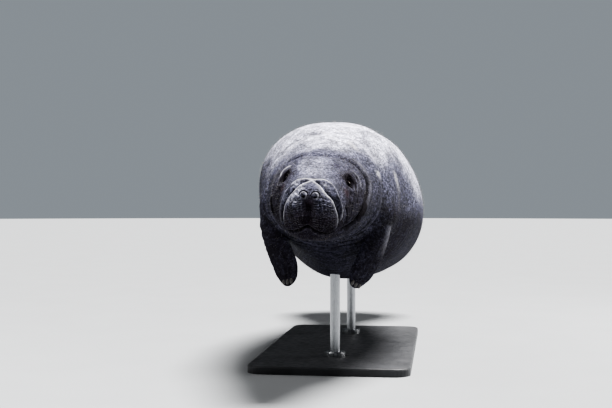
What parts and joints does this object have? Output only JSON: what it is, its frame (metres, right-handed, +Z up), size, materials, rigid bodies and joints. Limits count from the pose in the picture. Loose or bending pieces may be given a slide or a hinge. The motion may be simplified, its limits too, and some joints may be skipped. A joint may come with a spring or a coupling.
{
  "type": "manatee",
  "caption": "Life-size swimming manatee with a squared muzzle, bent flippers and a round paddle tail, held up by plain rods on a flat base.",
  "frame": {"origin": "on the floor, at the centre of the underside of the stand's base", "axes": "+Y from the snout to the tail, along the body; +X to the animal's left side; +Z up"},
  "size_m": [0.6878, 2.8101, 0.9855],
  "materials": {
    "skin": "rough, finely wrinkled grey hide",
    "eye": "glossy, very dark brown",
    "stand_plate": "satin dark grey paint",
    "stand_steel": "brushed"
  },
  "bodies": {
    "root": {"head": "skin", "neck": "skin", "torso": "skin", "tail_stock": "skin", "tail_paddle": "skin", "flipper_left": "skin", "flipper_right": "skin", "eye_left": "eye", "eye_right": "eye", "stand_base": "stand_plate", "stand_rod_front": "stand_steel", "stand_rod_rear": "stand_steel"}
  },
  "joints": []
}
